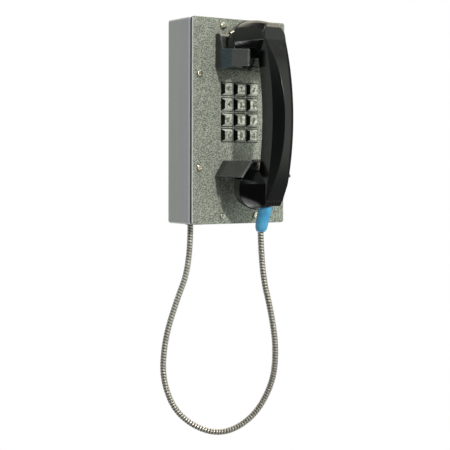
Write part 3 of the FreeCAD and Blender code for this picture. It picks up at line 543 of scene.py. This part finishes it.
def legend_mesh(name, character):
    """A filled character, upright in the XZ plane and centred on its own middle."""
    text = bpy.data.curves.new(name, "FONT")
    text.body = character
    text.size = LEGEND_SIZE
    text.offset = LEGEND_WEIGHT
    text.extrude = LEGEND_DEPTH
    text.resolution_u = LEGEND_STEPS
    holder = add_object(name + "_text", text)
    mesh = bpy.data.meshes.new_from_object(holder)
    bpy.data.objects.remove(holder)
    xs = [v.co.x for v in mesh.vertices]
    ys = [v.co.y for v in mesh.vertices]
    middle = Vector(((min(xs) + max(xs)) / 2, (min(ys) + max(ys)) / 2, 0.0))
    for vertex in mesh.vertices:
        flat = vertex.co - middle
        vertex.co = (flat.x, -flat.z, flat.y)
    return mesh


def make_legends():
    for key in KEYS:
        low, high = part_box("key_" + key)
        place = Vector(((low[0] + high[0]) / 2, low[1] + KEY_DISH, (low[2] + high[2]) / 2))
        mesh = legend_mesh("legend_" + key, SYMBOLS.get(key, key))
        for vertex in mesh.vertices:
            vertex.co += place
        piece = add_object("legend_" + key, mesh, "key_" + key)
        give(piece, "inner_black")


make_legends()
give(cord, "cord_steel")
for row in frame["record"]["subparts"]:
    give(frame["nodes"][row["node"]], row["material_slot"])

# ---- stage ---------------------------------------------------------------------------------
FLOOR_Z = -1.10
FLOOR_SIZE = 30.0
FLOOR_DARK = (0.20, 0.20, 0.20)
FLOOR_LIGHT = (0.24, 0.24, 0.24)


def make_stage():
    """A white floor that neither lights the object nor shows in its reflections."""
    bm = bmesh.new()
    bmesh.ops.create_grid(bm, x_segments=1, y_segments=1, size=FLOOR_SIZE)
    floor = add_object("floor", to_mesh(bm, "floor"))
    floor.location = (0, 0, FLOOR_Z)
    g = Graph("floor_white")
    shade = g.mix(g.spread(g.noise(0.4, 3.0), 0.3, 0.7), FLOOR_DARK, FLOOR_LIGHT)
    g.link(shade, g.shader, "Base Color")
    g.shader.inputs["Roughness"].default_value = 0.9
    white = g.add("ShaderNodeEmission")
    choose = g.add("ShaderNodeMixShader")
    g.link(g.add("ShaderNodeLightPath").outputs["Is Camera Ray"], choose, "Fac")
    g.link(g.shader.outputs["BSDF"], choose, 1)
    g.link(white.outputs["Emission"], choose, 2)
    g.link(choose.outputs["Shader"], g.tree.nodes["Material Output"], "Surface")
    floor.data.materials.append(g.material)
    floor.visible_glossy = False
    floor.visible_diffuse = False


def direction(azimuth, elevation):
    """A direction seen from the object: azimuth 0 is straight out of the front plate."""
    a = math.radians(azimuth)
    e = math.radians(elevation)
    return Vector((math.sin(a) * math.cos(e), -math.cos(a) * math.cos(e), math.sin(e)))


# The key sun's direction, and a tall narrow lamp that draws the highlight along the handle.
KEY_FROM = (-4, 24)
KEY_POWER = 1.55
KEY_SPREAD = math.radians(3.5)
KEY_COLOUR = (1.0, 0.985, 0.95)
STRIP_FROM = (-101, 12.5)
STRIP_DISTANCE = 1.9
STRIP_AIM = Vector((0, -0.13, 0.03))
STRIP_SIZE = (0.05, 0.26)
STRIP_POWER = 1.6


def aim_lamp(lamp, line):
    """Turns a lamp so that it shines along the line."""
    lamp.rotation_mode = "QUATERNION"
    lamp.rotation_quaternion = line.to_track_quat("-Z", "Y")


def make_lights():
    sun = bpy.data.lights.new("key", "SUN")
    sun.energy = KEY_POWER
    sun.angle = KEY_SPREAD
    sun.color = KEY_COLOUR
    aim_lamp(add_object("key", sun), -direction(*KEY_FROM))
    strip = bpy.data.lights.new("left_strip", "AREA")
    strip.shape = "RECTANGLE"
    strip.size, strip.size_y = STRIP_SIZE
    strip.energy = STRIP_POWER
    lamp = add_object("left_strip", strip)
    lamp.location = direction(*STRIP_FROM) * STRIP_DISTANCE
    aim_lamp(lamp, STRIP_AIM - lamp.location)


# Soft patches of the studio: azimuth, elevation, inner and outer half-angle, brightness.
STUDIO_BASE = (0.24, 0.243, 0.24)
STUDIO_PATCHES = [
    (0, 90, 8, 34, (0.50, 0.47, 0.41)),
    (0, -90, 15, 55, (0.14, 0.14, 0.14)),
    (36, 8, 16, 46, (0.98, 1.06, 0.96)),
    (-72, 0, 22, 46, (0.060, 0.062, 0.062)),
    (-112, -24, 12, 38, (0.03, 0.03, 0.03)),
    (-158, 60, 12, 28, (0.04, 0.04, 0.04)),
    (124, 0, 12, 45, (0.05, 0.05, 0.05)),
    (104, 56, 14, 32, (3.40, 3.20, 2.65)),
    (118, -54, 8, 30, (1.20, 1.19, 1.16)),
    (150, 20, 9, 26, (0.80, 0.76, 0.62)),
    (170, 44, 8, 20, (2.20, 2.08, 1.76)),
    (-146, 18, 16, 46, (0.50, 0.55, 0.49)),
    (-172, -44, 16, 36, (1.60, 1.64, 1.60)),
]


def make_world():
    world = bpy.data.worlds.new("studio")
    bpy.context.scene.world = world
    world.use_nodes = True
    tree = world.node_tree
    tree.nodes.clear()
    node = tree.nodes.new
    link = tree.links.new
    place = node("ShaderNodeTexCoord").outputs["Generated"]
    colour = None
    for azimuth, elevation, inner, outer, shade in STUDIO_PATCHES:
        dot = node("ShaderNodeVectorMath")
        dot.operation = "DOT_PRODUCT"
        link(place, dot.inputs[0])
        dot.inputs[1].default_value = direction(azimuth, elevation)
        share = node("ShaderNodeMapRange")
        share.interpolation_type = "SMOOTHSTEP"
        share.inputs["From Min"].default_value = math.cos(math.radians(outer))
        share.inputs["From Max"].default_value = math.cos(math.radians(inner))
        link(dot.outputs["Value"], share.inputs["Value"])
        mix = node("ShaderNodeMix")
        mix.data_type = "RGBA"
        link(share.outputs["Result"], mix.inputs["Factor"])
        below, above = [s for s in mix.inputs if s.type == "RGBA"]
        if colour is None:
            below.default_value = (*STUDIO_BASE, 1)
        else:
            link(colour, below)
        above.default_value = (*shade, 1)
        colour = [s for s in mix.outputs if s.type == "RGBA"][0]
    lit = node("ShaderNodeBackground")
    link(colour, lit.inputs["Color"])
    white = node("ShaderNodeBackground")
    white.inputs["Color"].default_value = (1, 1, 1, 1)
    choose = node("ShaderNodeMixShader")
    link(node("ShaderNodeLightPath").outputs["Is Camera Ray"], choose.inputs["Fac"])
    link(lit.outputs["Background"], choose.inputs[1])
    link(white.outputs["Background"], choose.inputs[2])
    link(choose.outputs["Shader"], node("ShaderNodeOutputWorld").inputs["Surface"])


make_stage()
make_lights()
make_world()
bpy.context.scene.view_settings.view_transform = "Standard"
